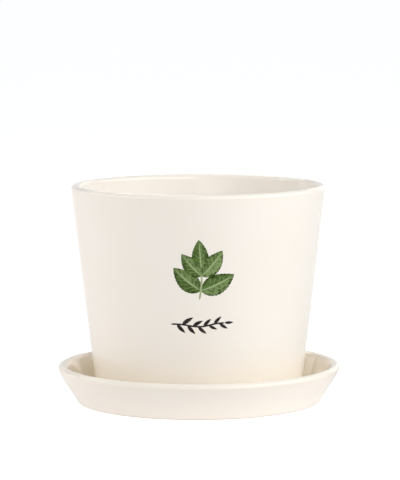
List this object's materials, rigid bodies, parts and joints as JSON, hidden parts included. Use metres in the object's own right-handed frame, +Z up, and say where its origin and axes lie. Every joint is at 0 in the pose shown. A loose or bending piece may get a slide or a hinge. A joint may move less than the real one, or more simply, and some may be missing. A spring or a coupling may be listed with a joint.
{
  "type": "plant pot with saucer",
  "caption": "Empty tapered round pot of cream glazed earthenware with a rounded lip and a small leaf sprig printed on its front, standing in a matching flared saucer.",
  "frame": {"origin": "centre of the saucer's foot ring, on the surface that it stands on", "axes": "+Z up the pot's axis; the printed front faces -Y"},
  "size_m": [0.1554, 0.1554, 0.12],
  "materials": {
    "pot_glaze": "clear glossy glaze over a cream body",
    "saucer_glaze": "clear glossy glaze over a cream body",
    "leaf_print": "printed under the glaze, mid and dark greens with pale veins",
    "stem_print": "printed under the glaze, pale green",
    "line_print": "printed under the glaze, brown-black"
  },
  "bodies": {
    "root": {"pot": "pot_glaze", "saucer": "saucer_glaze"}
  },
  "joints": []
}
